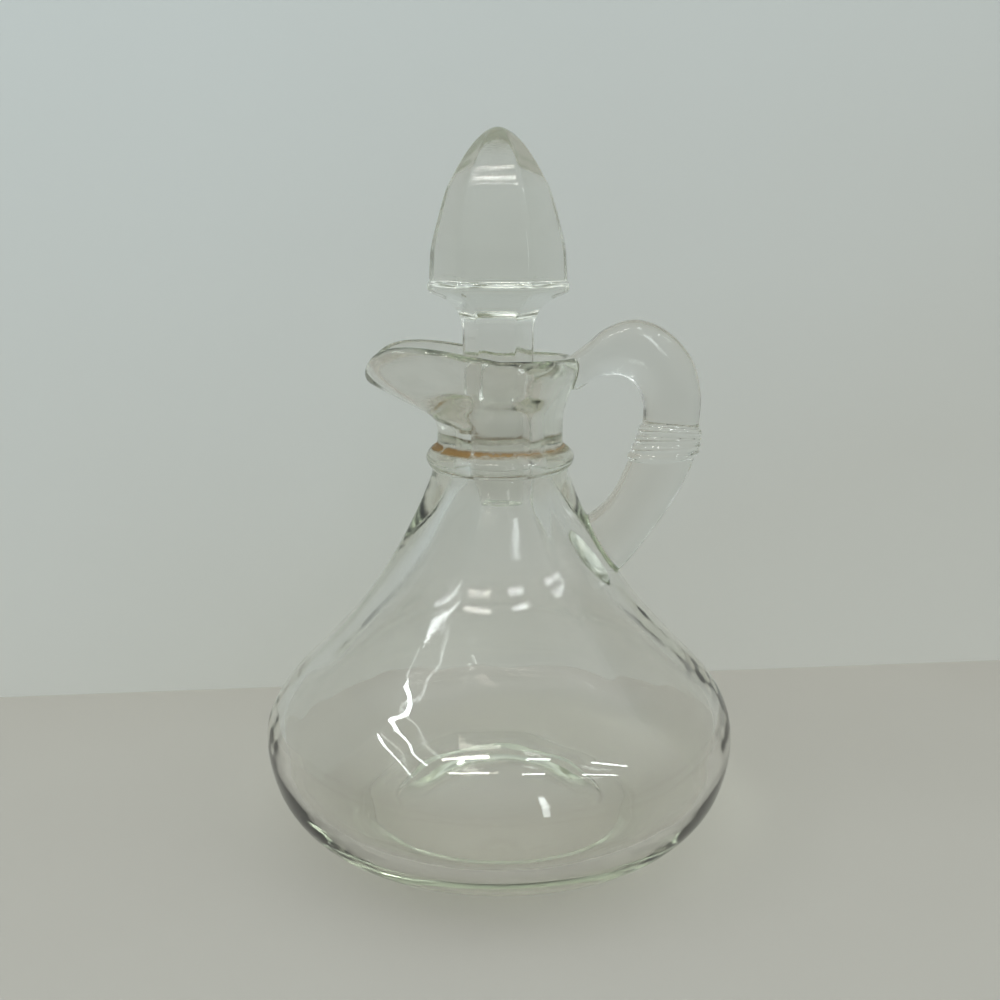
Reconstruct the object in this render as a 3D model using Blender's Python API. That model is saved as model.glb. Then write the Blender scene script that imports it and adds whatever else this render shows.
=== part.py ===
"""Pressed-glass cruet: a squat six-panelled bottle with a boat-shaped pouring mouth, a neck ring
and an ear handle tied with a ribbed band, closed by a loose six-sided pointed stopper.

The model is in metres with +Z up. The origin is the centre of the foot on the table, the pouring
lip points along -X and the handle along +X. Dimensions are written in millimetres, and loft()
turns them into metres.
"""
import math

import bmesh
import bpy
import numpy as np

METRES = 0.001

# Driving dimensions of the bottle, in millimetres
BELLY_RADIUS = 54.0
BELLY_HEIGHT = 24.2
NECK_RADIUS = 13.9
BORE_RADIUS = 6.5
RING_RADIUS = 16.45
RING_HEIGHT = 87.7
RIM_HEIGHT = 109.7
LIP_PULL = 16.0
BACK_PULL = 3.8
LIP_RISE = 3.0
LIP_DIP = 3.2
FOOT_INNER = 26.5
FOOT_OUTER = 32.0
PUSH_UP = 2.2
FLOOR_HEIGHT = 5.2

# The six soft panels of the body: how far each sinks below its ridges, outside and inside
PANELS = 6
PANEL_TURN = math.radians(4.4)
PANEL_DEPTH_OUTER = 0.7
PANEL_DEPTH_INNER = 1.0
RIDGE_SOFTNESS = 0.18

# The handle: its width in the plane of the profile comes from its two rails
HANDLE_DEPTH = 8.0
HANDLE_SQUARENESS = 3.4
BAND_RIBS = 4
BAND_PROUD = 0.75
BAND_START = 0.545
BAND_END = 0.62

# The stopper
STOPPER_SIDES = 6
STOPPER_TURN = math.radians(-3.2)
STOPPER_OFFSET = -0.4
COLLAR_RADIUS = 15.65
COLLAR_HEIGHT = 124.6
STOPPER_TOP = 157.2
STEM_RADIUS = 7.9
STEM_TOP = 116.0
PLUG_RADIUS = 5.7
PLUG_TOP = 98.6
PLUG_BOTTOM = 78.0

# How finely the shapes are divided
BOTTLE_SEGMENTS = 48
OUTSIDE_ROUNDS = 24
INSIDE_ROUNDS = 22
HANDLE_STATIONS = 40
HANDLE_POINTS = 14
STOPPER_POINTS = 24
DOME_ROUNDS = 10


def clear_scene():
    for obj in list(bpy.data.objects):
        bpy.data.objects.remove(obj)


def new_collection(name):
    collection = bpy.data.collections.new(name)
    bpy.context.scene.collection.children.link(collection)
    return collection


def glass(name, colour):
    material = bpy.data.materials.new(name)
    material.use_nodes = True
    shader = material.node_tree.nodes["Principled BSDF"]
    shader.inputs["Base Color"].default_value = (*colour, 1.0)
    shader.inputs["Roughness"].default_value = 0.03
    shader.inputs["Metallic"].default_value = 0.0
    shader.inputs["IOR"].default_value = 1.5
    shader.inputs["Transmission Weight"].default_value = 1.0
    return material


def spline(points, count):
    """A smooth Catmull-Rom curve through rows of numbers, read at evenly spaced places."""
    rows = np.array(points, float)
    rows = np.vstack([2 * rows[0] - rows[1], rows, 2 * rows[-1] - rows[-2]])
    curve = []
    for place in np.linspace(0, len(points) - 1, count):
        index = min(int(place), len(points) - 2)
        t = place - index
        before, start, end, after = rows[index:index + 4]
        curve.append(0.5 * (2 * start + (end - before) * t
                            + (2 * before - 5 * start + 4 * end - after) * t ** 2
                            + (3 * start - before - 3 * end + after) * t ** 3))
    return np.array(curve)


def smooth_step(value, low, high):
    t = min(max((value - low) / (high - low), 0.0), 1.0)
    return t * t * (3 - 2 * t)


def signed_power(value, power):
    return math.copysign(abs(value) ** power, value)


def turn(count):
    """The angles of one round, evenly spaced."""
    return [2 * math.pi * step / count for step in range(count)]


def loft(name, rings, first_tip=None, last_tip=None):
    """A closed mesh through rings of equal length, shut at each end by a fan to a tip or by a cap."""
    mesh = bmesh.new()
    rows = [[mesh.verts.new(np.array(point) * METRES) for point in ring] for ring in rings]
    for low, high in zip(rows, rows[1:]):
        for i in range(len(low)):
            j = (i + 1) % len(low)
            mesh.faces.new((low[i], low[j], high[j], high[i]))
    for row, tip in ((rows[0], first_tip), (rows[-1], last_tip)):
        if tip is None:
            mesh.faces.new(row)
            continue
        centre = mesh.verts.new(np.array(tip) * METRES)
        for i in range(len(row)):
            mesh.faces.new((row[i], row[(i + 1) % len(row)], centre))
    bmesh.ops.recalc_face_normals(mesh, faces=mesh.faces)
    data = bpy.data.meshes.new(name)
    mesh.to_mesh(data)
    mesh.free()
    data.shade_smooth()
    data.set_sharp_from_angle(angle=math.radians(35))
    return bpy.data.objects.new(name, data)


def panel_shape(angle):
    """1 in the middle of a panel and 0 on the soft ridge between two panels."""
    wave = math.cos(PANELS / 2 * (angle + math.pi / 2 - PANEL_TURN))
    soft_wave = math.hypot(wave, RIDGE_SOFTNESS) - RIDGE_SOFTNESS
    return soft_wave / (math.hypot(1, RIDGE_SOFTNESS) - RIDGE_SOFTNESS)


def panel_strength(height):
    """The panels fade out below the heel and where the shoulder runs into the neck."""
    return smooth_step(height, 2, 14) * (1 - smooth_step(height, 50, 78))


def body_ring(radius, height, depth=0.0):
    """One round of the body: a circle whose six panels are sunk a little."""
    ring = []
    for angle in turn(BOTTLE_SEGMENTS):
        reach = radius - depth * panel_strength(height) * panel_shape(angle)
        ring.append((reach * math.cos(angle), reach * math.sin(angle), height))
    return ring


def rim_rise(share):
    """How the rim climbs along the pouring lip and dips at its tip: share is 0 abreast of the
    neck and 1 at the tip."""
    return LIP_RISE * math.sin(math.pi * share / 1.24) - LIP_DIP * share ** 6


def mouth_ring(radius, height, lip, back, rise):
    """One round of the mouth. lip and back are its shares of the pull to the pouring lip and to
    the handle, and rise is its share of the climb of the rim."""
    ring = []
    for angle in turn(BOTTLE_SEGMENTS):
        x = math.cos(angle)
        if x < 0:
            shift = -lip * LIP_PULL * math.sin(math.pi / 2 * -x)
            lift = rise * rim_rise(-x)
        else:
            shift = back * BACK_PULL * math.sin(math.pi / 2 * x)
            lift = 0.0
        ring.append((radius * x + shift, radius * math.sin(angle), height + lift))
    return ring


def base_rings():
    """The underside: the shallow push-up and the flat foot ring."""
    rows = [(7.0, 0.97 * PUSH_UP), (16.0, 0.8 * PUSH_UP), (23.5, 0.3 * PUSH_UP),
            (FOOT_INNER, 0.0), (FOOT_OUTER, 0.0)]
    return [body_ring(radius, height) for radius, height in rows]


def outer_rings():
    """The cone under the heel, the heel, the belly and the concave shoulder up to the ring."""
    outline = [(FOOT_OUTER + 0.9, 0.5), (41.2, 4.9), (47.8, 9.0), (51.5, 13.4), (53.4, 18.6),
               (BELLY_RADIUS, BELLY_HEIGHT), (52.9, 29.6), (49.1, 35.6), (41.0, 44.1),
               (31.9, 54.3), (24.8, 64.7), (18.9, 75.6), (14.7, RING_HEIGHT - 2.7)]
    return [body_ring(*row, PANEL_DEPTH_OUTER) for row in spline(outline, OUTSIDE_ROUNDS)]


def ring_and_neck_rings():
    """The pointed bead at the foot of the neck, its groove and the straight neck."""
    bead = [(-0.9, -2.0), (-0.25, -1.0), (0.0, 0.0), (-0.25, 1.0), (-1.1, 2.0), (-2.2, 2.8)]
    rings = [body_ring(RING_RADIUS + out, RING_HEIGHT + up) for out, up in bead]
    rings.append(body_ring(NECK_RADIUS, RING_HEIGHT + 3.6))
    return rings


def mouth_outer_rings():
    """The outside of the mouth: radius, depth below the rim, lip, back and rise."""
    outline = [(NECK_RADIUS, 15.4, 0.0, 0.0, 0.0), (NECK_RADIUS, 13.4, 0.05, 0.0, 0.05),
               (NECK_RADIUS, 11.8, 0.16, 0.05, 0.15), (NECK_RADIUS, 9.8, 0.375, 0.2, 0.35),
               (13.8, 7.6, 0.6, 0.42, 0.6), (13.8, 5.4, 0.825, 0.66, 0.85),
               (13.75, 3.6, 0.96, 0.87, 1.0), (13.6, 1.9, 0.99, 1.0, 1.0),
               (13.1, 0.6, 0.995, 1.0, 1.0), (12.2, 0.0, 1.0, 0.97, 1.0)]
    return [mouth_ring(radius, RIM_HEIGHT - down, *shares) for radius, down, *shares in outline]


def mouth_inner_rings():
    """The inside of the mouth, from the rim down the channel of the lip into the bore."""
    outline = [(11.3, 0.5, 0.99, 0.9, 1.0), (10.9, 1.6, 0.97, 0.8, 1.0),
               (10.7, 2.9, 0.88, 0.66, 0.95), (10.3, 4.6, 0.7, 0.5, 0.8),
               (9.6, 6.6, 0.51, 0.34, 0.6), (8.6, 8.9, 0.33, 0.18, 0.4),
               (7.5, 10.9, 0.19, 0.08, 0.2), (6.9, 12.5, 0.09, 0.0, 0.1),
               (6.6, 14.1, 0.03, 0.0, 0.0), (BORE_RADIUS, 15.9, 0.0, 0.0, 0.0)]
    return [mouth_ring(radius, RIM_HEIGHT - down, *shares) for radius, down, *shares in outline]


def inner_rings():
    """The bore, the thick wall under the ring, the inside of the shoulder and belly, the floor."""
    outline = [(BORE_RADIUS, RING_HEIGHT), (6.9, 83.5), (8.5, 77.6), (12.2, 71.3), (17.6, 64.2),
               (24.0, 56.4), (31.0, 48.6), (38.0, 41.2), (44.4, 35.0), (48.6, 29.4),
               (BELLY_RADIUS - 4.1, BELLY_HEIGHT), (49.3, 18.8), (46.6, 14.0), (41.4, 9.9),
               (35.6, 6.9), (31.6, FLOOR_HEIGHT + 0.2)]
    rings = [body_ring(*row, PANEL_DEPTH_INNER) for row in spline(outline, INSIDE_ROUNDS)]
    for radius in (27.0, 18.0, 8.0):
        rings.append(body_ring(radius, FLOOR_HEIGHT))
    return rings


def handle_rings():
    """Rounded-oblong rounds strung between the handle's outer and inner rails in the XZ plane."""
    outer = [(14.9, 109.6), (18.6, 112.2), (23.0, 115.8), (29.3, 117.7), (36.0, 115.4),
             (41.7, 109.4), (43.9, 102.4), (44.0, 95.5), (43.6, 89.0), (41.2, 81.9), (37.4, 75.2),
             (32.5, 67.9), (27.8, 61.9), (25.2, 59.6)]
    inner = [(14.9, 102.4), (17.3, 102.7), (21.4, 105.2), (25.6, 105.7), (29.0, 104.2),
             (31.0, 100.8), (31.6, 97.6), (31.3, 93.8), (29.9, 89.6), (28.3, 85.8), (26.3, 81.2),
             (23.6, 77.2), (20.0, 74.2), (16.8, 72.4)]
    rails = np.hstack([spline(outer, HANDLE_STATIONS), spline(inner, HANDLE_STATIONS)])
    rings = []
    for station, (outer_x, outer_z, inner_x, inner_z) in enumerate(rails):
        proud = band_bulge(station / (HANDLE_STATIONS - 1))
        middle = np.array([outer_x + inner_x, outer_z + inner_z]) / 2
        half = np.array([outer_x - inner_x, outer_z - inner_z]) / 2
        half *= 1 + proud / np.linalg.norm(half)
        half_depth = HANDLE_DEPTH / 2 + proud
        ring = []
        for angle in turn(HANDLE_POINTS):
            across = signed_power(math.cos(angle), 2 / HANDLE_SQUARENESS)
            deep = signed_power(math.sin(angle), 2 / HANDLE_SQUARENESS)
            x, z = middle + half * across
            ring.append((x, deep * half_depth, z))
        rings.append(ring)
    return rings


def band_bulge(place):
    """The band's cords stand proud of the handle as rounded ribs."""
    share = (place - BAND_START) / (BAND_END - BAND_START)
    if not 0 < share < 1:
        return 0.0
    return BAND_PROUD * (0.45 + 0.55 * abs(math.sin(math.pi * BAND_RIBS * share)))


def make_bottle(collection, joined):
    rings = (base_rings() + outer_rings() + ring_and_neck_rings() + mouth_outer_rings()
             + mouth_inner_rings() + inner_rings())
    bottle = loft("cruet_bottle", rings, first_tip=(0, 0, PUSH_UP), last_tip=(0, 0, FLOOR_HEIGHT))
    bottle.data.materials.append(glass("bottle glass", (0.86, 0.90, 0.86)))
    collection.objects.link(bottle)

    handle = loft("handle_to_join", handle_rings())
    handle.hide_render = True
    handle.display_type = "WIRE"
    joined.objects.link(handle)

    join = bottle.modifiers.new("join the handle", "BOOLEAN")
    join.operation = "UNION"
    join.solver = "EXACT"
    join.object = handle


def stopper_ring(radius, height, sides=1.0):
    """One round of the stopper: sides is 1 where it is six-sided and 0 where it is round."""
    ring = []
    sector = 2 * math.pi / STOPPER_SIDES
    for angle in turn(STOPPER_POINTS):
        from_middle = angle % sector - sector / 2
        flat = math.cos(sector / 2) / math.cos(from_middle)
        reach = radius * (1 + sides * (flat - 1))
        turned = angle + STOPPER_TURN
        ring.append((STOPPER_OFFSET + reach * math.cos(turned), reach * math.sin(turned), height))
    return ring


def make_stopper(collection):
    """From below: the round plug, the six-sided stem, its flare, the thin collar and the dome."""
    rings = [stopper_ring(PLUG_RADIUS - 0.7, PLUG_BOTTOM, 0.0),
             stopper_ring(PLUG_RADIUS - 0.3, PLUG_BOTTOM + 0.6, 0.0),
             stopper_ring(PLUG_RADIUS, PLUG_TOP - 2.2, 0.0),
             stopper_ring(STEM_RADIUS, PLUG_TOP + 2.6),
             stopper_ring(STEM_RADIUS, STEM_TOP)]
    flare = [(8.3, STEM_TOP + 2.0), (9.6, 120.2), (11.9, 122.0), (14.9, 123.2)]
    collar = [(-0.15, -0.9), (0.0, 0.0), (-0.15, 0.9)]
    dome = [(15.2, 126.0), (14.65, 133.0), (13.05, 139.0), (11.2, 144.3), (8.9, 149.4),
            (5.9, 153.4), (3.2, 155.9), (1.3, 157.0)]
    for radius, height in flare:
        rings.append(stopper_ring(radius, height))
    for out, up in collar:
        rings.append(stopper_ring(COLLAR_RADIUS + out, COLLAR_HEIGHT + up))
    for radius, height in spline(dome, DOME_ROUNDS):
        rings.append(stopper_ring(radius, height, 1.0 - smooth_step(height, 153.0, 156.5)))
    stopper = loft("stopper", rings, first_tip=(STOPPER_OFFSET, 0, PLUG_BOTTOM),
                   last_tip=(STOPPER_OFFSET, 0, STOPPER_TOP))
    stopper.data.materials.append(glass("stopper glass", (0.88, 0.91, 0.87)))
    collection.objects.link(stopper)


def main():
    clear_scene()
    cruet = new_collection("glass cruet")
    joined = new_collection("joined shapes")
    make_bottle(cruet, joined)
    make_stopper(cruet)


main()
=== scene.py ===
# %% [markdown]
# # A pressed-glass cruet and its pointed stopper
# This lesson dresses a small oil and vinegar bottle. The real one is soda-lime glass pressed and
# blown in an iron mould, so every surface is a little wavy, every edge is a little round, and the
# thick parts look faintly green. The fixed solids give the sizes. Here they are replaced by finer
# meshes of the same form, because clear glass shows every flat facet twice: once as a reflection
# and once as a kink in whatever is seen through it.

# %% Load the fixed solids
import math

import bpy
import numpy as np
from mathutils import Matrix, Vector, noise
from mathutils.bvhtree import BVHTree


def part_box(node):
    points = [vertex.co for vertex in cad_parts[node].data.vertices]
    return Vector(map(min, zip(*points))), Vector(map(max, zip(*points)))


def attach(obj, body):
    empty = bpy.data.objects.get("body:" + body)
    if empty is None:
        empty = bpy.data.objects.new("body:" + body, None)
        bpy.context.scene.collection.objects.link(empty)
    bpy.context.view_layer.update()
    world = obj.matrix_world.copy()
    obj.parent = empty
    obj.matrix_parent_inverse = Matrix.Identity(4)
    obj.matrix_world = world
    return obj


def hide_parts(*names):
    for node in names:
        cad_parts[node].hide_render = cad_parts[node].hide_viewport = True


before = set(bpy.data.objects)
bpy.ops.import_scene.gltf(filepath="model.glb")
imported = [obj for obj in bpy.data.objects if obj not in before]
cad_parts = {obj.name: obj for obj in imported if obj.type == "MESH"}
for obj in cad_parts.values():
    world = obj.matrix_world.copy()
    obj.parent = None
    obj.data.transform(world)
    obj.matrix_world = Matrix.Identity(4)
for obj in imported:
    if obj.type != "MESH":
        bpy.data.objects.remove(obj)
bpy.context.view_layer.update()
print("fixed nodes:", sorted(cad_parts))

# %% [markdown]
# ## Sizes
# Glass makers draw a bottle as a half section: how far the wall stands from the axis at each
# height. The same drawing drives this mesh, in millimetres, with the pouring lip along -X and the
# handle along +X. Only loft_object() turns millimetres into Blender's metres.

# %% The bottle's driving dimensions
METRES = 0.001
BELLY_RADIUS = 54.0
BELLY_HEIGHT = 24.2
NECK_RADIUS = 13.9
BORE_RADIUS = 6.5
RING_RADIUS = 16.45
RING_HEIGHT = 87.7
RIM_HEIGHT = 109.7
LIP_PULL = 16.0
BACK_PULL = 3.8
LIP_RISE = 3.0
LIP_DIP = 3.2
FOOT_INNER = 26.5
FOOT_OUTER = 32.0
PUSH_UP = 2.2
FLOOR_HEIGHT = 5.2
bottle_low, bottle_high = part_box("cruet_bottle")
print("belly across, mm:", round((bottle_high.y - bottle_low.y) / METRES, 1), "of", 2 * BELLY_RADIUS)

# %% [markdown]
# ## Curves and rounds
# A half section needs only the points that its shape needs. A Catmull-Rom curve passes through all
# of them, so the drawing stays short and the wall stays smooth. Each point of the curve becomes one
# round of vertices, and the rounds are held as one array, which lets NumPy move a whole wall at
# once.

# %% A smooth curve through points, and soft steps
def spline(points, per_gap):
    """A Catmull-Rom curve through rows of numbers, with per_gap places for each pair of rows."""
    rows = np.array(points, float)
    rows = np.vstack([2 * rows[0] - rows[1], rows, 2 * rows[-1] - rows[-2]])
    places = np.linspace(0, len(points) - 1, (len(points) - 1) * per_gap + 1)
    index = np.minimum(places.astype(int), len(points) - 2)
    t = (places - index)[:, None]
    before, start, end, after = (rows[index + step] for step in range(4))
    return 0.5 * (2 * start + (end - before) * t
                  + (2 * before - 5 * start + 4 * end - after) * t ** 2
                  + (3 * start - before - 3 * end + after) * t ** 3)


def smooth_step(value, low, high):
    t = np.clip((value - low) / (high - low), 0.0, 1.0)
    return t * t * (3 - 2 * t)


def turn(count):
    """The angles of one round."""
    return np.linspace(0, 2 * np.pi, count, endpoint=False)


print("spline check:", spline([(0, 0), (1, 1), (2, 0)], 2)[:, 1])

# %% A closed mesh from rounds
def loft_object(name, rounds, first_tip=None, last_tip=None, closed=True):
    """Joins rounds of equal length, (rounds, points, 3) in millimetres, and may close both ends."""
    count, around = rounds.shape[:2]
    points = [rounds.reshape(-1, 3)]
    here = np.arange(count * around).reshape(count, around)
    ahead = np.roll(here, -1, axis=1)
    faces = np.stack([here[:-1], ahead[:-1], ahead[1:], here[1:]], axis=-1).reshape(-1, 4).tolist()
    for row, tip, flip in ((0, first_tip, True), (count - 1, last_tip, False)) if closed else ():
        if tip is None:
            cap = here[row].tolist()
            faces.append(cap[::-1] if flip else cap)
            continue
        centre = sum(len(block) for block in points)
        points.append(np.array([tip], float))
        for a, b in zip(here[row].tolist(), ahead[row].tolist()):
            faces.append((b, a, centre) if flip else (a, b, centre))
    mesh = bpy.data.meshes.new(name)
    mesh.from_pydata((np.vstack(points) * METRES).tolist(), [], faces)
    mesh.validate()
    mesh.shade_smooth()
    obj = bpy.data.objects.new(name, mesh)
    bpy.context.scene.collection.objects.link(obj)
    return obj


# %% [markdown]
# ## The waviness of pressed glass
# Hot glass chills unevenly against the mould, so its skin has long low waves, and the inside, which
# only air has pushed on, has deeper ones. They are what makes the room wobble behind the bottle. A
# bump texture would bend the reflections but leave the mesh smooth, so the waves are real moves of
# the vertices along the wall's own direction, from a seeded noise.

# %% Waves along the wall's own direction
def wall_directions(rounds):
    along = np.gradient(rounds, axis=0)
    around = np.roll(rounds, -1, axis=1) - np.roll(rounds, 1, axis=1)
    normal = np.cross(around, along)
    return normal / np.maximum(np.linalg.norm(normal, axis=-1, keepdims=True), 1e-9)


def waves(rounds, amount, length, seed):
    """Moves each point by up to amount, which may differ from round to round, in waves of that
    length."""
    shift = Vector((seed * 17.3, seed * 5.1, seed * 9.7))
    values = [noise.noise(Vector(point) / length + shift) for point in rounds.reshape(-1, 3)]
    values = np.array(values).reshape(rounds.shape[:2])
    height = np.asarray(amount, float)
    if height.ndim == 1:
        height = height[:, None]
    return rounds + wall_directions(rounds) * (values * height)[..., None]


# %% [markdown]
# ## The six panels
# The body looks round, but its mould had six shallow panels with soft ridges between them. Around
# the bottle the panels are a cosine whose sharp valleys are rounded off, which keeps the ridges
# soft. They fade out at the heel and under the ring. The shoulder is also a little narrower from
# front to back than from side to side, and that is one more term of the same kind.

# %% Panels round the body
PANELS = 6
PANEL_TURN = math.radians(8)
PANEL_DEPTHS = spline([  # height, depth
    (-1, 0), (8, 0.1), (20, 0.55), (36, 0.7), (50, 0.85), (60, 0.85), (68, 0.9), (76, 0.9),
    (82, 0.45), (86, 0), (99, 0)], 6)
SHOULDER_NARROWING = spline([  # height, how much narrower at the front and at the back
    (-1, 0), (37, 0), (40, 0.08), (44, 0.35), (48, 0.75), (52, 1.25), (56, 1.95), (59, 2.6),
    (61.5, 2.95), (66, 3.1), (72, 2.5), (80, 0.8), (86, 0), (99, 0)], 6)
INNER_SHARE = 0.5
RIDGE_SOFTNESS = 0.09
BOTTLE_SEGMENTS = 216
bottle_angles = turn(BOTTLE_SEGMENTS)


def panel_shape(angle):
    """1 in the middle of a panel and 0 on the soft ridge between two panels."""
    wave = np.cos(PANELS / 2 * (angle + np.pi / 2 - PANEL_TURN))
    full = np.hypot(1, RIDGE_SOFTNESS) - RIDGE_SOFTNESS
    return (np.hypot(wave, RIDGE_SOFTNESS) - RIDGE_SOFTNESS) / full


def body_rounds(profile, share):
    """Rounds from rows of radius and height, with the panels sunk by a share of their full depth."""
    radius, height = profile[:, :1], profile[:, 1:2]
    depth = np.interp(height, PANEL_DEPTHS[:, 0], PANEL_DEPTHS[:, 1])
    narrowing = np.interp(height, SHOULDER_NARROWING[:, 0], SHOULDER_NARROWING[:, 1])
    sunk = depth * panel_shape(bottle_angles) + narrowing * (1 - np.cos(bottle_angles) ** 4)
    reach = radius - share * sunk
    flat = np.broadcast_to(height, reach.shape)
    return np.stack([reach * np.cos(bottle_angles), reach * np.sin(bottle_angles), flat], axis=-1)


# %% [markdown]
# ## The boat-shaped mouth
# The neck is a plain tube, and the mouth grows out of it: each round is pulled towards the pouring
# lip and a little towards the handle, and the rim climbs along the lip before it dips at the tip.
# One row of the drawing holds the radius, the depth below the rim, and the shares of the three
# pulls, so the outside and the inside of the mouth are the same kind of list.

# %% Rounds of the mouth
def rim_rise(share):
    """How the rim climbs along the pouring lip and dips at its tip, from 0 to 1."""
    return LIP_RISE * np.sin(np.pi * share / 1.24) - LIP_DIP * share ** 6


def mouth_rounds(profile):
    radius, down, lip, back, rise = (profile[:, i:i + 1] for i in range(5))
    x = np.cos(bottle_angles)
    to_lip, to_back = np.maximum(-x, 0), np.maximum(x, 0)
    pull = back * BACK_PULL * np.sin(np.pi / 2 * to_back)
    shift = pull - lip * LIP_PULL * np.sin(np.pi / 2 * to_lip)
    height = RIM_HEIGHT - down + rise * rim_rise(to_lip)
    return np.stack([radius * x + shift, radius * np.sin(bottle_angles) + 0 * shift, height], axis=-1)


# %% [markdown]
# ## The bottle's wall as one skin
# A hollow bottle is one skin that starts under the foot, climbs the outside, turns over the rim and
# goes down the inside to the floor. Drawn that way the glass between the two walls is real, and so
# the renderer bends light at both.

# %% The half section from the foot to the rim and down to the floor
under_foot = spline([(1.5, PUSH_UP), (7.0, 0.97 * PUSH_UP), (16.0, 0.8 * PUSH_UP), (23.5, 0.3 * PUSH_UP),
                     (25.6, 0.2), (FOOT_INNER, 0.12)], 5)
foot_flat = spline([(FOOT_INNER + 0.3, 0.10), (29.3, 0.0), (FOOT_OUTER - 0.3, 0.10)], 3)
outside = spline([(FOOT_OUTER, 0.14), (FOOT_OUTER + 0.9, 0.5), (41.2, 4.9), (47.8, 9.0), (51.5, 13.4),
                  (53.4, 18.6), (BELLY_RADIUS, BELLY_HEIGHT), (52.9, 29.6), (49.1, 35.6), (41.0, 44.1),
                  (31.9, 54.3), (24.8, 64.7), (18.9, 75.6), (15.3, RING_HEIGHT - 3.9)], 7)
bead = [(-1.3, -3.0), (-1.35, -2.4), (-0.75, -1.8), (-0.25, -1.0), (0.0, 0.0), (-0.3, 1.0), (-1.1, 1.9),
        (-2.05, 2.45), (-2.42, 2.85), (-2.53, 3.3), (-2.55, 4.0)]
ring = spline([(RING_RADIUS + out, RING_HEIGHT + up) for out, up in bead], 4)
mouth = spline([(NECK_RADIUS, 17.0, 0, 0, 0), (NECK_RADIUS, 15.4, 0, 0, 0),
                (NECK_RADIUS, 13.4, 0.05, 0, 0.05), (NECK_RADIUS, 11.8, 0.16, 0.05, 0.15),
                (NECK_RADIUS, 9.8, 0.375, 0.2, 0.35),
                (13.8, 7.6, 0.6, 0.42, 0.6), (13.8, 5.4, 0.825, 0.66, 0.85), (13.75, 3.6, 0.96, 0.87, 1),
                (13.6, 1.9, 0.99, 1, 1), (13.1, 0.6, 0.995, 1, 1), (12.2, 0, 1, 0.97, 1),
                (11.3, 0.5, 0.99, 0.84, 1), (10.7, 1.6, 0.96, 0.6, 1), (10.2, 2.9, 0.88, 0.36, 0.95),
                (9.7, 4.6, 0.76, 0.17, 0.82), (9.1, 6.4, 0.62, 0.06, 0.65), (8.5, 8.2, 0.48, 0, 0.46),
                (7.6, 9.8, 0.35, 0, 0.28), (6.85, 11.1, 0.24, 0, 0.14), (6.55, 12.6, 0.13, 0, 0.05),
                (BORE_RADIUS, 14.2, 0.04, 0, 0), (BORE_RADIUS, 15.9, 0, 0, 0)], 4)
inside = spline([(BORE_RADIUS, RING_HEIGHT + 5.0), (BORE_RADIUS, RING_HEIGHT), (7.0, 84.9),
                 (8.4, 79.9), (11.0, 75.4), (14.2, 70.6), (18.6, 64.6), (24.4, 57.0), (31.0, 49.2),
                 (38.0, 41.6), (44.4, 35.0), (48.6, 29.4), (BELLY_RADIUS - 4.1, BELLY_HEIGHT),
                 (49.3, 18.8), (46.6, 14.0), (41.4, 9.9), (35.6, 6.9), (31.6, FLOOR_HEIGHT + 0.2)], 6)
floor = spline([(30.2, FLOOR_HEIGHT), (27.0, FLOOR_HEIGHT), (18.0, FLOOR_HEIGHT), (8.0, FLOOR_HEIGHT),
                (1.5, FLOOR_HEIGHT)], 4)
half_section = (under_foot, foot_flat, outside, ring, mouth, inside, floor)
print("rows in the half section:", sum(map(len, half_section)))

# %% The wavy skin
CREASE_ROWS_BELOW, CREASE_ROWS_ABOVE = 17, 5
FILM_STAND_OFF = 0.05
sections = [  # rounds, height of the long waves, height of the short waves
    (body_rounds(under_foot, 0), 0.03, 0.0), (body_rounds(foot_flat, 0), 0.0, 0.0),
    (body_rounds(outside, 1), 0.06, 0.012), (body_rounds(ring, 0), 0.04, 0.008),
    (mouth_rounds(mouth), 0.05, 0.012), (body_rounds(inside, INNER_SHARE), None, None),
    (body_rounds(floor, 0), 0.06, 0.02)]
inner_belly = smooth_step(inside[:, 1], 14, 36) * (1 - smooth_step(inside[:, 1], 60, 85))
inner_waves = 0.04 + 0.11 * inner_belly
long_waves, short_waves = (np.concatenate([inner_waves * scale if row[column] is None
                                           else np.full(len(row[0]), row[column]) for row in sections])
                           for column, scale in ((1, 1.0), (2, 0.3)))
even = np.ones(9) / 9
skin = np.concatenate([row[0] for row in sections])
skin = waves(skin, np.convolve(long_waves, even, "same"), 15.0, 3)
skin = waves(skin, np.convolve(short_waves, even, "same"), 5.0, 4)
skin[..., 2] = np.maximum(skin[..., 2], 0.0)
neck_start = sum(len(row[0]) for row in sections[:4])
crease = slice(neck_start - CREASE_ROWS_BELOW, neck_start + CREASE_ROWS_ABOVE)
crease_skin = (skin + FILM_STAND_OFF * wall_directions(skin))[crease]
bottle = loft_object("bottle_glass_body", skin, first_tip=(0, 0, PUSH_UP),
                     last_tip=(0, 0, FLOOR_HEIGHT))
print("bottle skin:", skin.shape[0], "rounds of", skin.shape[1])

# %% [markdown]
# ## The ear handle and its tied band
# The handle was pressed with the bottle. Its front and back are broad and flat, and its edges
# follow two rails drawn in the plane of the handle. A rounded oblong is strung between the rails at
# each station. Half way down, the mould imitates cords tied round the handle: four ribs that lie
# close together on the outer edge and fan out towards the bottle.

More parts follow.
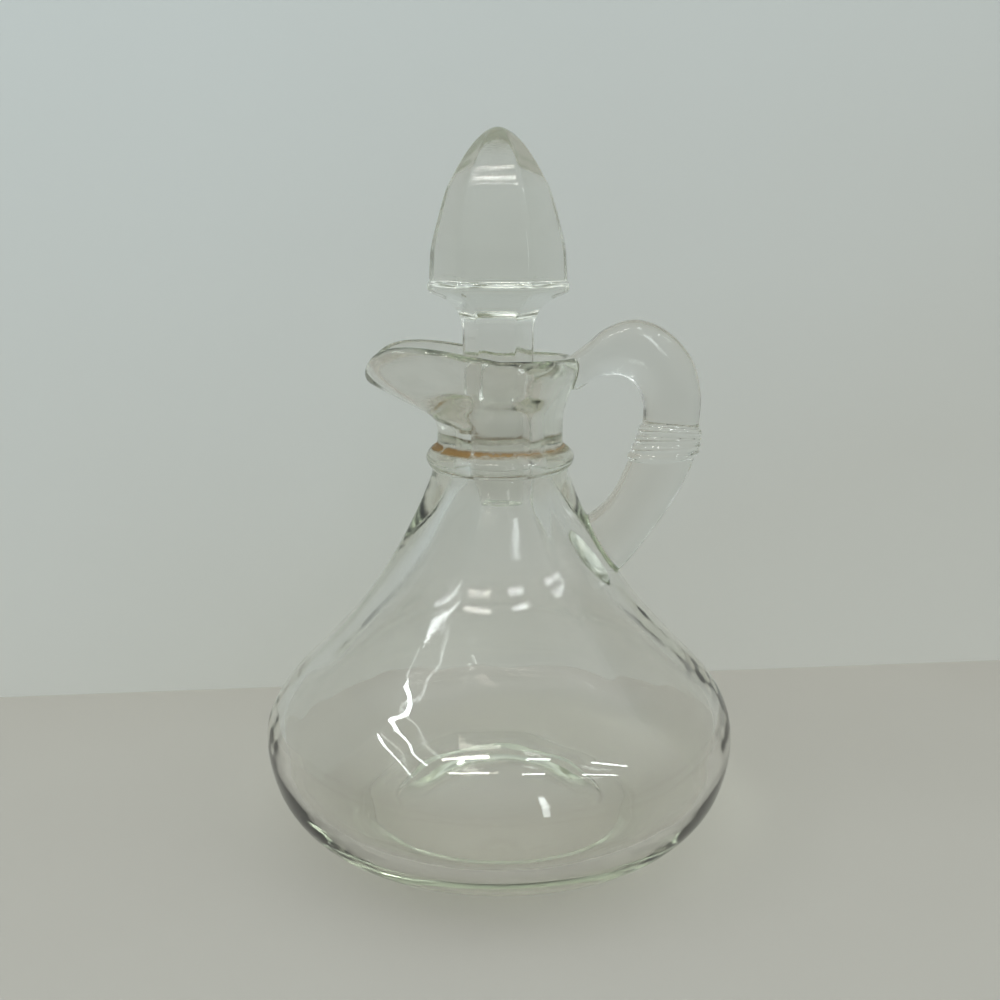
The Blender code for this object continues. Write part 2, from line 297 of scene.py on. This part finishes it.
# %% Rails, oblong rounds and the band
HANDLE_DEPTH = 8.0
HANDLE_SQUARENESS = 2.5
HANDLE_POINTS = 44
HANDLE_PER_GAP = 14
CORDS = 4
CORD_PROUD = 0.75
CORD_HALF_WIDTH = 0.012
BAND_AT_INNER_RAIL = (0.538, 0.654)
BAND_AT_OUTER_RAIL = (0.568, 0.616)
outer_rail = spline([(14.9, 109.6), (18.6, 112.2), (23.0, 115.8), (29.3, 117.7), (36.0, 115.4),
                     (41.7, 109.4), (43.9, 102.4), (44.0, 95.5), (43.6, 89.0), (41.2, 81.9),
                     (37.4, 75.2), (32.5, 67.9), (27.8, 61.9), (25.2, 59.6)], HANDLE_PER_GAP)
inner_rail = spline([(14.9, 102.4), (17.3, 102.7), (21.4, 105.2), (25.6, 105.7), (29.0, 104.2),
                     (31.0, 100.8), (31.6, 97.6), (31.3, 93.8), (29.9, 89.6), (28.3, 85.8),
                     (26.3, 81.2), (23.6, 77.2), (20.0, 74.2), (16.8, 72.4)], HANDLE_PER_GAP)


def signed_power(value, power):
    return np.sign(value) * np.abs(value) ** power


def cord_heights(place, across):
    """How far the cords stand proud at each station and point: they lean and fan as they cross."""
    to_outer = (across + 1) / 2
    proud = np.zeros(np.broadcast_shapes(place.shape, across.shape))
    for cord in range(CORDS):
        share = cord / (CORDS - 1)
        at_inner = BAND_AT_INNER_RAIL[0] + share * (BAND_AT_INNER_RAIL[1] - BAND_AT_INNER_RAIL[0])
        at_outer = BAND_AT_OUTER_RAIL[0] + share * (BAND_AT_OUTER_RAIL[1] - BAND_AT_OUTER_RAIL[0])
        line = at_inner + to_outer * (at_outer - at_inner)
        width = CORD_HALF_WIDTH * (1.45 - 0.75 * to_outer)
        rib = np.sqrt(np.clip(1 - ((place - line) / width) ** 2, 0, 1))
        proud = np.maximum(proud, rib)
    return CORD_PROUD * proud


handle_angles = turn(HANDLE_POINTS)
across = signed_power(np.cos(handle_angles), 2 / HANDLE_SQUARENESS)[None, :]
deep = signed_power(np.sin(handle_angles), 2 / HANDLE_SQUARENESS)[None, :]
place = np.linspace(0, 1, len(outer_rail))[:, None]
proud = cord_heights(place, across)
middle, half = (outer_rail + inner_rail) / 2, (outer_rail - inner_rail) / 2
width = np.linalg.norm(half, axis=1, keepdims=True)
stretch = 1 + proud / width
handle_skin = np.stack([middle[:, :1] + half[:, :1] * across * stretch,
                        -deep * (HANDLE_DEPTH / 2 + proud),
                        middle[:, 1:] + half[:, 1:] * across * stretch], axis=-1)
handle_skin = waves(handle_skin, 0.05, 9.0, 9)
handle = loft_object("handle_to_join", handle_skin)
print("handle:", len(handle_skin), "stations of", HANDLE_POINTS, "points")

# %% [markdown]
# ## Joining the handle
# Bottle and handle are one piece of glass, so there must be no wall between them: a hidden surface
# would show as a bright film. A Boolean union removes it. Pressed glass has no knife-sharp inner
# corners either, so the points near the joint are then relaxed towards their neighbours, the more
# the nearer they lie to both shapes.

# %% One solid of bottle and handle
JOINT_REACH = 1.6
JOINT_ROUNDS = 10


def surface_tree(obj):
    return BVHTree.FromObject(obj, bpy.context.evaluated_depsgraph_get())


def union(target, other):
    modifier = target.modifiers.new("join", "BOOLEAN")
    modifier.operation = "UNION"
    modifier.solver = "EXACT"
    modifier.object = other
    evaluated = target.evaluated_get(bpy.context.evaluated_depsgraph_get())
    joined = bpy.data.meshes.new_from_object(evaluated)
    target.modifiers.clear()
    target.data = joined
    bpy.data.objects.remove(other)


def relax_joint(obj, trees):
    """Moves the points that lie near both shapes towards the mean of their neighbours."""
    mesh = obj.data
    points = np.array([v.co for v in mesh.vertices])
    edges = np.array([e.vertices for e in mesh.edges])
    weight = np.zeros(len(points))
    for index, point in enumerate(points):
        reach = sum(tree.find_nearest(Vector(point))[3] for tree in trees) / METRES
        weight[index] = max(0.0, 1 - reach / JOINT_REACH)
    neighbours = np.bincount(edges.ravel(), minlength=len(points))[:, None]
    for _ in range(JOINT_ROUNDS):
        total = np.zeros_like(points)
        np.add.at(total, edges[:, 0], points[edges[:, 1]])
        np.add.at(total, edges[:, 1], points[edges[:, 0]])
        points += weight[:, None] * 0.5 * (total / neighbours - points)
    mesh.vertices.foreach_set("co", points.ravel())
    mesh.update()
    return int((weight > 0).sum())


bpy.context.view_layer.update()
trees = [surface_tree(bottle), surface_tree(handle)]
union(bottle, handle)
moved = relax_joint(bottle, trees)
bottle.data.shade_smooth()
print("bottle and handle:", len(bottle.data.polygons), "faces,", moved, "points relaxed at the joint")

# %% [markdown]
# ## The pointed stopper
# The stopper is a pressed lump: a six-sided dome on a thin collar, a flare, a six-sided stem and a
# round plug that sits loose in the bore. Its flats and edges are one formula. A hexagon is where
# six half planes meet, and a high power mean of their distances gives the same flats with slightly
# round edges, as a worn mould leaves them.

# %% Six-sided rounds
STOPPER_SIDES = 6
STOPPER_TURN = math.radians(-3.2)
STOPPER_OFFSET = -0.4
COLLAR_RADIUS = 15.65
COLLAR_HEIGHT = 124.6
STOPPER_TOP = 157.2
STEM_RADIUS = 7.9
STEM_TOP = 116.0
PLUG_RADIUS = 5.7
PLUG_TOP = 98.6
PLUG_BOTTOM = 78.0
EDGE_POWER = 38
STOPPER_POINTS = 240
stopper_angles = turn(STOPPER_POINTS)


def six_sided(radius, sides):
    """How far the rounds reach. radius is to the corners; sides is 1 for a hexagon, 0 for a circle."""
    sector = 2 * np.pi / STOPPER_SIDES
    middles = sector * (np.arange(STOPPER_SIDES) + 0.5)
    toward = np.maximum(np.cos(stopper_angles[:, None] - middles[None, :]), 0)
    flat = math.cos(sector / 2) / (toward ** EDGE_POWER).sum(axis=1) ** (1 / EDGE_POWER)
    return radius[:, None] * (1 + sides[:, None] * (flat[None, :] - 1))


def stopper_rounds(profile):
    """Rounds from rows of radius, height and how six-sided the round is."""
    reach = six_sided(profile[:, 0], profile[:, 2])
    angle = stopper_angles + STOPPER_TURN
    height = np.broadcast_to(profile[:, 1:2], reach.shape)
    return np.stack([STOPPER_OFFSET + reach * np.cos(angle), reach * np.sin(angle), height], axis=-1)


# %% The stopper from plug to point
plug = spline([(PLUG_RADIUS - 1.2, PLUG_BOTTOM, 0), (PLUG_RADIUS - 0.55, PLUG_BOTTOM + 0.25, 0),
               (PLUG_RADIUS - 0.3, PLUG_BOTTOM + 0.9, 0), (PLUG_RADIUS - 0.1, 88.0, 0),
               (PLUG_RADIUS, PLUG_TOP - 2.2, 0)], 5)
shoulder = spline([(PLUG_RADIUS + 0.25, PLUG_TOP - 1.4, 0.1), (6.6, PLUG_TOP, 0.5),
                   (7.5, PLUG_TOP + 1.7, 0.95), (STEM_RADIUS, PLUG_TOP + 3.2, 1)], 5)
stem = spline([(STEM_RADIUS, PLUG_TOP + 4.5, 1), (STEM_RADIUS, STEM_TOP - 0.6, 1)], 8)
flare = spline([(STEM_RADIUS + 0.05, STEM_TOP, 1), (8.3, STEM_TOP + 2.0, 1), (9.6, 120.2, 1),
                (11.9, 122.0, 1), (14.6, 123.15, 1), (COLLAR_RADIUS - 0.25, COLLAR_HEIGHT - 0.9, 1),
                (COLLAR_RADIUS, COLLAR_HEIGHT, 1), (COLLAR_RADIUS - 0.2, COLLAR_HEIGHT + 0.85, 1),
                (COLLAR_RADIUS - 0.55, COLLAR_HEIGHT + 1.25, 1)], 5)
dome = spline([(15.2, 126.4, 1), (15.0, 129.5, 1), (14.65, 133.0, 1), (13.05, 139.0, 1),
               (11.35, 144.3, 1), (9.95, 147.0, 1), (8.45, 149.6, 1), (5.75, 153.4, 1),
               (3.2, 155.9, 0.35), (1.3, 156.95, 0)], 7)
stopper_skin = stopper_rounds(np.vstack([plug, shoulder, stem, flare, dome]))
stopper_skin = waves(stopper_skin, 0.05, 7.0, 11)
stopper = loft_object("stopper_glass_piece", stopper_skin, first_tip=(STOPPER_OFFSET, 0, PLUG_BOTTOM),
                      last_tip=(STOPPER_OFFSET, 0, STOPPER_TOP))
print("stopper:", len(stopper.data.polygons), "faces")

# %% [markdown]
# ## Fine texture for both pieces
# Close up, pressed glass is not optically smooth. The mould leaves a skin like very fine orange
# peel, so a lamp's reflection has a frayed edge. Hands leave patches that scatter a little. Both
# glasses need both effects, so each is a node group with named values, built once.

# %% A helper for node groups
def new_group(name, inputs, outputs):
    """An empty shader group with its sockets: inputs are (name, kind, value), outputs (name, kind)."""
    group = bpy.data.node_groups.new(name, "ShaderNodeTree")
    for label, kind, value in inputs:
        socket = group.interface.new_socket(label, in_out="INPUT", socket_type=kind)
        if value is not None:
            socket.default_value = value
    for label, kind in outputs:
        group.interface.new_socket(label, in_out="OUTPUT", socket_type=kind)
    return group, group.nodes.new("NodeGroupInput"), group.nodes.new("NodeGroupOutput")


def calculate(tree, operation, *values):
    """A Math node fed by sockets or numbers; its result socket."""
    node = tree.nodes.new("ShaderNodeMath")
    node.operation = operation
    for slot, value in enumerate(values):
        if isinstance(value, (int, float)):
            node.inputs[slot].default_value = value
        else:
            tree.links.new(value, node.inputs[slot])
    return node.outputs[0]


def noise_value(tree, where, scale, detail=2.0):
    node = tree.nodes.new("ShaderNodeTexNoise")
    node.inputs["Detail"].default_value = detail
    tree.links.new(where, node.inputs["Vector"])
    if isinstance(scale, (int, float)):
        node.inputs["Scale"].default_value = scale
    else:
        tree.links.new(scale, node.inputs["Scale"])
    return node.outputs["Fac"]


# %% The pressed skin
PEEL_FADE = 80.0
PEEL_LEAST = 0.1


def pressed_skin_group():
    """Low lumps all over, and orange peel. Below a height the glass lay free of the mould, and the
    peel fades there to a tenth of its strength."""
    group, given, result = new_group("pressed skin", [
        ("Where", "NodeSocketVector", None), ("Broad Scale", "NodeSocketFloat", 240.0),
        ("Broad Height", "NodeSocketFloat", 4e-6), ("Fine Scale", "NodeSocketFloat", 2400.0),
        ("Fine Height", "NodeSocketFloat", 1.3e-5), ("Smooth Below", "NodeSocketFloat", 0.0)],
        [("Height", "NodeSocketFloat")])
    broad = noise_value(group, given.outputs["Where"], given.outputs["Broad Scale"], 1.0)
    fine = noise_value(group, given.outputs["Where"], given.outputs["Fine Scale"], 2.0)
    parts = group.nodes.new("ShaderNodeSeparateXYZ")
    group.links.new(given.outputs["Where"], parts.inputs["Vector"])
    above = calculate(group, "SUBTRACT", parts.outputs["Z"], given.outputs["Smooth Below"])
    above = calculate(group, "MULTIPLY", above, PEEL_FADE)
    above = calculate(group, "MAXIMUM", above, PEEL_LEAST)
    above = calculate(group, "MINIMUM", above, 1.0)
    broad = calculate(group, "MULTIPLY", broad, given.outputs["Broad Height"])
    fine = calculate(group, "MULTIPLY", fine, given.outputs["Fine Height"])
    fine = calculate(group, "MULTIPLY", fine, above)
    group.links.new(calculate(group, "ADD", broad, fine), result.inputs["Height"])
    return group


# %% Patches left by handling
def handled_group():
    group, given, result = new_group("handled patches", [
        ("Where", "NodeSocketVector", None), ("Clean Roughness", "NodeSocketFloat", 0.0),
        ("Smeared Roughness", "NodeSocketFloat", 0.05), ("Patch Scale", "NodeSocketFloat", 90.0)],
        [("Roughness", "NodeSocketFloat"), ("Patches", "NodeSocketFloat")])
    patches = noise_value(group, given.outputs["Where"], given.outputs["Patch Scale"], 4.0)
    ramp = group.nodes.new("ShaderNodeMapRange")
    ramp.interpolation_type = "SMOOTHSTEP"
    ramp.inputs["From Min"].default_value = 0.5
    ramp.inputs["From Max"].default_value = 0.68
    group.links.new(patches, ramp.inputs["Value"])
    group.links.new(given.outputs["Clean Roughness"], ramp.inputs["To Min"])
    group.links.new(given.outputs["Smeared Roughness"], ramp.inputs["To Max"])
    group.links.new(ramp.outputs["Result"], result.inputs["Roughness"])
    group.links.new(patches, result.inputs["Patches"])
    return group


# %% Residue dried in a crease
LEAN_PER_METRE = -32.0
LEAN_AT_AXIS = 0.65
LEAN_LEAST = 0.4


def residue_group():
    """Ragged patches that thin out away from one height and towards +X."""
    group, given, result = new_group("dried residue", [
        ("Where", "NodeSocketVector", None), ("Line Height", "NodeSocketFloat", 0.09),
        ("Spread", "NodeSocketFloat", 0.001), ("Patch Scale", "NodeSocketFloat", 330.0),
        ("Thickness", "NodeSocketFloat", 1.0)],
        [("Cover", "NodeSocketFloat"), ("Patches", "NodeSocketFloat")])
    parts = group.nodes.new("ShaderNodeSeparateXYZ")
    group.links.new(given.outputs["Where"], parts.inputs["Vector"])
    away = calculate(group, "SUBTRACT", parts.outputs["Z"], given.outputs["Line Height"])
    away = calculate(group, "DIVIDE", calculate(group, "ABSOLUTE", away), given.outputs["Spread"])
    line = calculate(group, "SUBTRACT", 1.0, calculate(group, "MINIMUM", away, 1.0))
    patches = noise_value(group, given.outputs["Where"], given.outputs["Patch Scale"], 4.0)
    ramp = group.nodes.new("ShaderNodeMapRange")
    ramp.inputs["From Min"].default_value = 0.30
    ramp.inputs["From Max"].default_value = 0.50
    group.links.new(patches, ramp.inputs["Value"])
    lean = calculate(group, "MULTIPLY", parts.outputs["X"], LEAN_PER_METRE)
    lean = calculate(group, "ADD", lean, LEAN_AT_AXIS)
    lean = calculate(group, "MINIMUM", calculate(group, "MAXIMUM", lean, LEAN_LEAST), 1.0)
    cover = calculate(group, "MULTIPLY", calculate(group, "MULTIPLY", line, ramp.outputs["Result"]), lean)
    cover = calculate(group, "MULTIPLY", cover, given.outputs["Thickness"])
    group.links.new(calculate(group, "MINIMUM", cover, 1.0), result.inputs["Cover"])
    group.links.new(patches, result.inputs["Patches"])
    return group


pressed_skin, handled, residue = pressed_skin_group(), handled_group(), residue_group()
print("node groups:", sorted(g.name for g in bpy.data.node_groups))

# %% [markdown]
# ## Two clear glasses
# Clear glass is colourless in a thin wall and green in a thick one, because iron in the sand
# absorbs red and blue over distance. So the colour belongs to the volume, as Volume Absorption with
# plain values. The surface only dims the light a little, most where hands have smeared it. A path
# tracer finds the light that glass lets through only by chance, so shadow rays see the glass as a
# clear film with a faint tint, which gives it the light shadow that real glass has. Light can also
# run round and round inside a thick wall. A renderer gives up on it and leaves a black patch, so
# past LONGEST_PATH turns it goes straight out instead.

# %% The glass material
IOR = 1.51
SHADOW_TINT = (0.87, 0.885, 0.87)
LONGEST_PATH = 13.5


def group_node(tree, group, **values):
    node = tree.nodes.new("ShaderNodeGroup")
    node.node_tree = group
    for label, value in values.items():
        node.inputs[label.replace("_", " ")].default_value = value
    return node


def mix_colours(tree, factor, first, second):
    node = tree.nodes.new("ShaderNodeMix")
    node.data_type = "RGBA"
    node.inputs["A"].default_value = (*first, 1)
    node.inputs["B"].default_value = (*second, 1)
    tree.links.new(factor, node.inputs["Factor"])
    return node.outputs["Result"]


def glass(name, clean, handled_tone, absorbed, density, smooth_below):
    material = bpy.data.materials.new(name)
    material.use_nodes = True
    tree = material.node_tree
    shader = tree.nodes["Principled BSDF"]
    output = tree.nodes["Material Output"]
    where = tree.nodes.new("ShaderNodeTexCoord").outputs["Object"]
    skin_node = group_node(tree, pressed_skin, Smooth_Below=smooth_below)
    hand_node = group_node(tree, handled)
    for node in (skin_node, hand_node):
        tree.links.new(where, node.inputs["Where"])
    tone = mix_colours(tree, hand_node.outputs["Patches"], clean, handled_tone)
    tree.links.new(tone, shader.inputs["Base Color"])
    tree.links.new(hand_node.outputs["Roughness"], shader.inputs["Roughness"])
    bump = tree.nodes.new("ShaderNodeBump")
    bump.inputs["Distance"].default_value = 1.0
    tree.links.new(skin_node.outputs["Height"], bump.inputs["Height"])
    tree.links.new(bump.outputs["Normal"], shader.inputs["Normal"])
    shader.inputs["Metallic"].default_value = 0.0
    shader.inputs["Transmission Weight"].default_value = 1.0
    shader.inputs["IOR"].default_value = IOR
    volume = tree.nodes.new("ShaderNodeVolumeAbsorption")
    volume.inputs["Color"].default_value = (*absorbed, 1)
    volume.inputs["Density"].default_value = density
    tree.links.new(volume.outputs["Volume"], output.inputs["Volume"])
    passing = tree.nodes.new("ShaderNodeBsdfTransparent")
    passing.inputs["Color"].default_value = (*SHADOW_TINT, 1)
    light_path = tree.nodes.new("ShaderNodeLightPath")
    lost = calculate(tree, "GREATER_THAN", light_path.outputs["Ray Depth"], LONGEST_PATH)
    straight, either = (tree.nodes.new("ShaderNodeMixShader") for _ in range(2))
    tree.links.new(lost, straight.inputs["Fac"])
    tree.links.new(shader.outputs["BSDF"], straight.inputs[1])
    tree.links.new(tree.nodes.new("ShaderNodeBsdfTransparent").outputs["BSDF"], straight.inputs[2])
    tree.links.new(light_path.outputs["Is Shadow Ray"], either.inputs["Fac"])
    tree.links.new(straight.outputs["Shader"], either.inputs[1])
    tree.links.new(passing.outputs["BSDF"], either.inputs[2])
    tree.links.new(either.outputs["Shader"], output.inputs["Surface"])
    return material


bottle.data.materials.clear()
bottle.data.materials.append(glass("bottle glass", (0.955, 0.948, 0.94), (0.93, 0.922, 0.912),
                                   (0.83, 0.855, 0.765), 22.0, 0.050))
stopper.data.materials.append(glass("stopper glass", (0.96, 0.95, 0.94), (0.935, 0.925, 0.915),
                                    (0.83, 0.85, 0.78), 22.0, 0.0))

# %% [markdown]
# ## What dried in the crease
# A cruet is rinsed, never scrubbed, and where the neck runs into its ring a brown line stays. It is
# a film of its own, a hair outside the glass and cut from the same rounds, so it follows the same
# waves. Its patches come from its transparency.

# %% The residue film
CREASE_RISE = 2.75
CREASE_SPREAD = 0.0010


def residue_film(name, line_height, spread):
    material = bpy.data.materials.new(name)
    material.use_nodes = True
    tree = material.node_tree
    shader = tree.nodes["Principled BSDF"]
    where = tree.nodes.new("ShaderNodeTexCoord").outputs["Object"]
    dirt = group_node(tree, residue, Line_Height=line_height, Spread=spread, Thickness=1.9)
    tree.links.new(where, dirt.inputs["Where"])
    tone = mix_colours(tree, dirt.outputs["Patches"], (0.36, 0.205, 0.055), (0.13, 0.07, 0.016))
    tree.links.new(tone, shader.inputs["Base Color"])
    tree.links.new(dirt.outputs["Cover"], shader.inputs["Alpha"])
    shader.inputs["Roughness"].default_value = 0.55
    return material


film = loft_object("residue_film", crease_skin, closed=False)
crease_height = (RING_HEIGHT + CREASE_RISE) * METRES
film.data.materials.append(residue_film("dried residue film", crease_height, CREASE_SPREAD))
print("residue film:", len(film.data.polygons), "faces")

# %% The pieces stand for their solids
for piece, node, slot in ((bottle, "cruet_bottle", "bottle_glass"), (film, "cruet_bottle", None),
                          (stopper, "stopper", "stopper_glass")):
    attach(piece, "root")
    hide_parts(node)
    print(piece.name, "stands for", node)

# %% [markdown]
# ## A plain pale stage
# Clear glass has almost no look of its own. It shows what stands round it. A pale floor runs to a
# pale wall close behind, as on a shelf, and the rest of the room is greyer, which is what draws the
# dark lines along the edges of the glass. Light is painted into both: the wall's colour is lighter
# and cooler towards its top and its left, and the floor's colour is painted darker a way off from
# the bottle, a painted fall-off of light.

# %% Floor and wall
WALL_DISTANCE = 0.080
WALL_TURN = math.radians(5.3)
STAGE_REACH = 1.6
WALL_RISE = 1.2
# Where the floor's painted fall-off of light starts and ends, in metres from the bottle.
PAINTED_FALLOFF_START, PAINTED_FALLOFF_END = 0.18, 0.55


def matte(name, low, high, scale, lean=(0, 0, 0), painted_falloff_tone=1.0, one_sided=False):
    """A dull paint whose tone drifts from place to place. Along lean the colour is painted lighter, a
    painted light gradient, and a way off it falls to a share of its tone, a painted fall-off of light.
    A one-sided card is clear from behind, so that it never hides the bottle."""
    material = bpy.data.materials.new(name)
    material.use_nodes = True
    tree = material.node_tree
    shader = tree.nodes["Principled BSDF"]
    shader.inputs["Roughness"].default_value = 0.85
    where = tree.nodes.new("ShaderNodeTexCoord").outputs["Object"]
    # lean paints light into the colour: the tone is lighter along it and darker against it.
    along = tree.nodes.new("ShaderNodeVectorMath")
    along.operation = "DOT_PRODUCT"
    along.inputs[1].default_value = lean
    tree.links.new(where, along.inputs[0])
    drift = noise_value(tree, where, scale, 3.0)
    drift = calculate(tree, "MULTIPLY_ADD", drift, 0.3, -0.2) if any(lean) else drift
    mixed = mix_colours(tree, calculate(tree, "ADD", along.outputs["Value"], drift), low, high)
    # Painted shade: a way off, the colour falls darker, a painted fall-off of light round the bottle.
    away = tree.nodes.new("ShaderNodeVectorMath")
    away.operation = "LENGTH"
    tree.links.new(where, away.inputs[0])
    painted_falloff = tree.nodes.new("ShaderNodeMapRange")
    painted_falloff.interpolation_type = "SMOOTHSTEP"
    for label, value in (("From Min", PAINTED_FALLOFF_START), ("From Max", PAINTED_FALLOFF_END), ("To Min", 1.0),
                         ("To Max", painted_falloff_tone)):
        painted_falloff.inputs[label].default_value = value
    tree.links.new(away.outputs["Value"], painted_falloff.inputs["Value"])
    scaled = tree.nodes.new("ShaderNodeVectorMath")
    scaled.operation = "SCALE"
    tree.links.new(mixed, scaled.inputs[0])
    tree.links.new(painted_falloff.outputs["Result"], scaled.inputs["Scale"])
    tree.links.new(scaled.outputs["Vector"], shader.inputs["Base Color"])
    if one_sided:
        clear = tree.nodes.new("ShaderNodeBsdfTransparent")
        either = tree.nodes.new("ShaderNodeMixShader")
        facing = tree.nodes.new("ShaderNodeNewGeometry").outputs["Backfacing"]
        tree.links.new(facing, either.inputs["Fac"])
        tree.links.new(shader.outputs["BSDF"], either.inputs[1])
        tree.links.new(clear.outputs["BSDF"], either.inputs[2])
        tree.links.new(either.outputs["Shader"], tree.nodes["Material Output"].inputs["Surface"])
    return material


def card(name, corners, material):
    mesh = bpy.data.meshes.new(name)
    mesh.from_pydata(corners, [], [(0, 1, 2, 3)])
    mesh.materials.append(material)
    obj = bpy.data.objects.new(name, mesh)
    bpy.context.scene.collection.objects.link(obj)
    return obj


# The floor's colour falls to 0.3 of its tone a way off: painted shade.
floor_card = card("stage_floor", [(-STAGE_REACH, -STAGE_REACH, 0), (STAGE_REACH, -STAGE_REACH, 0),
                                  (STAGE_REACH, STAGE_REACH, 0), (-STAGE_REACH, STAGE_REACH, 0)],
                  matte("pale floor", (0.45, 0.42, 0.38), (0.49, 0.465, 0.42), 9.0, painted_falloff_tone=0.3))
# The wall's colour is painted light: lighter and cooler towards its top and its left, as if daylight fell
# there.
wall_card = card("stage_wall", [(-STAGE_REACH, 0, 0), (STAGE_REACH, 0, 0),
                                (STAGE_REACH, 0, WALL_RISE), (-STAGE_REACH, 0, WALL_RISE)],
                 matte("pale wall", (0.64, 0.637, 0.60), (0.785, 0.845, 0.86), 5.0,
                       lean=(-1.2, 0, 3.2), one_sided=True))
wall_card.location = (0, WALL_DISTANCE, 0)
wall_card.rotation_euler = (0, 0, WALL_TURN)

# %% [markdown]
# ## Light
# Tube lamps hang in two parallel rows under a pale ceiling, a little in front of the table, and two
# more run back to front on the left. A tall narrow strip stands in front, a little to the right. The
# rows are broken between the lamps. A round bottle mirrors every lamp as a short white line, and
# those pairs of lines are what make its form readable. The ends of a hanging lamp are given by how
# far they lie to the side and to the front for each metre of height.

# %% Rows of tube lamps
LAMP_HEIGHT = 1.6
ROW_FRONTS = (0.57, 0.775)
LAMP_SPANS = ((-0.37, -0.03), (0.21, 0.38), (0.74, 1.25))
TUBE_WIDTH = 0.036
TUBE_GLOW = 30.0
LEFT_TUBES = (((-1.04, -0.12), (-0.53, 0.64)), ((-1.12, 0.07), (-0.83, 0.79)))
STRIP_TURN = math.radians(20)
STRIP_DISTANCE = 2.5
STRIP_MIDDLE = 0.95
STRIP_SPAN = 0.075
STRIP_TALL = 1.15
STRIP_GLOW = 9.0
WARM_WHITE = (1.0, 0.97, 0.90)
COOL_WHITE = (0.95, 1.0, 1.0)
DAYLIGHT = (0.92, 0.99, 1.0)


def lamp(name, start, end, width, glow, colour):
    """A flat lamp from start to end, both (side, front) per metre of height. glow is its brightness."""
    first, last = (Vector((x, -y)) * LAMP_HEIGHT for x, y in (start, end))
    data = bpy.data.lights.new(name, "AREA")
    data.shape = "RECTANGLE"
    data.size = (last - first).length
    data.size_y = width
    data.energy = glow * math.pi * data.size * data.size_y
    data.color = colour
    obj = bpy.data.objects.new(name, data)
    bpy.context.scene.collection.objects.link(obj)
    obj.location = (*((first + last) / 2), LAMP_HEIGHT)
    obj.rotation_euler = (0, 0, math.atan2(last.y - first.y, last.x - first.x))
    return obj


for row, front in enumerate(ROW_FRONTS):
    for number, (left, right) in enumerate(LAMP_SPANS):
        tint = WARM_WHITE if number == 0 else COOL_WHITE
        lamp(f"tube {row} {number}", (left, front), (right, front), TUBE_WIDTH, TUBE_GLOW, tint)
for number, (start, end) in enumerate(LEFT_TUBES):
    lamp(f"left tube {number}", start, end, TUBE_WIDTH, TUBE_GLOW, DAYLIGHT)
strip = lamp("door strip", (0, 0), (STRIP_SPAN, 0), STRIP_TALL, STRIP_GLOW, DAYLIGHT)
strip.location = (STRIP_DISTANCE * math.sin(STRIP_TURN), -STRIP_DISTANCE * math.cos(STRIP_TURN),
                  STRIP_MIDDLE)
strip.rotation_euler = (math.pi / 2, 0, STRIP_TURN)

# %% The room: a pale ceiling over greyer surroundings
room = bpy.data.worlds.new("room")
room.use_nodes = True
bpy.context.scene.world = room
sky = room.node_tree
up = sky.nodes.new("ShaderNodeSeparateXYZ")
sky.links.new(sky.nodes.new("ShaderNodeTexCoord").outputs["Generated"], up.inputs["Vector"])
climb = sky.nodes.new("ShaderNodeMapRange")
climb.interpolation_type = "SMOOTHSTEP"
climb.inputs["From Min"].default_value = 0.1
climb.inputs["From Max"].default_value = 0.75
sky.links.new(up.outputs["Z"], climb.inputs["Value"])
tones = sky.nodes.new("ShaderNodeMix")
tones.data_type = "RGBA"
tones.inputs["A"].default_value = (0.42, 0.44, 0.43, 1)
tones.inputs["B"].default_value = (0.92, 1.0, 1.0, 1)
sky.links.new(climb.outputs["Result"], tones.inputs["Factor"])
sky.links.new(tones.outputs["Result"], sky.nodes["Background"].inputs["Color"])

# %% [markdown]
# ## Camera
# The camera stands a hand's length in front of the bottle and a little above its rim, and looks
# down by 13.5 degrees. Those values were fitted to how the rim, the ring and the foot foreshorten.

# %% The camera
CAMERA_BACK = 0.2278
CAMERA_HEIGHT = 0.1322
CAMERA_PITCH = math.radians(13.5)
FOCAL_SHARE = 1.040
camera_data = bpy.data.cameras.new("camera")
camera_data.sensor_width = 36.0
camera_data.lens = FOCAL_SHARE * camera_data.sensor_width
camera_data.clip_start = 0.01
camera = bpy.data.objects.new("camera", camera_data)
bpy.context.scene.collection.objects.link(camera)
camera.location = (0, -CAMERA_BACK, CAMERA_HEIGHT)
camera.rotation_euler = (math.pi / 2 - CAMERA_PITCH, 0, 0)
bpy.context.scene.camera = camera

# %% How light is traced
cycles = bpy.context.scene.cycles
cycles.max_bounces = 26
cycles.transmission_bounces = 24
cycles.glossy_bounces = 12
cycles.transparent_max_bounces = 16
cycles.sample_clamp_indirect = 6.0
cycles.use_denoising = True
bpy.context.scene.view_settings.view_transform = "Standard"
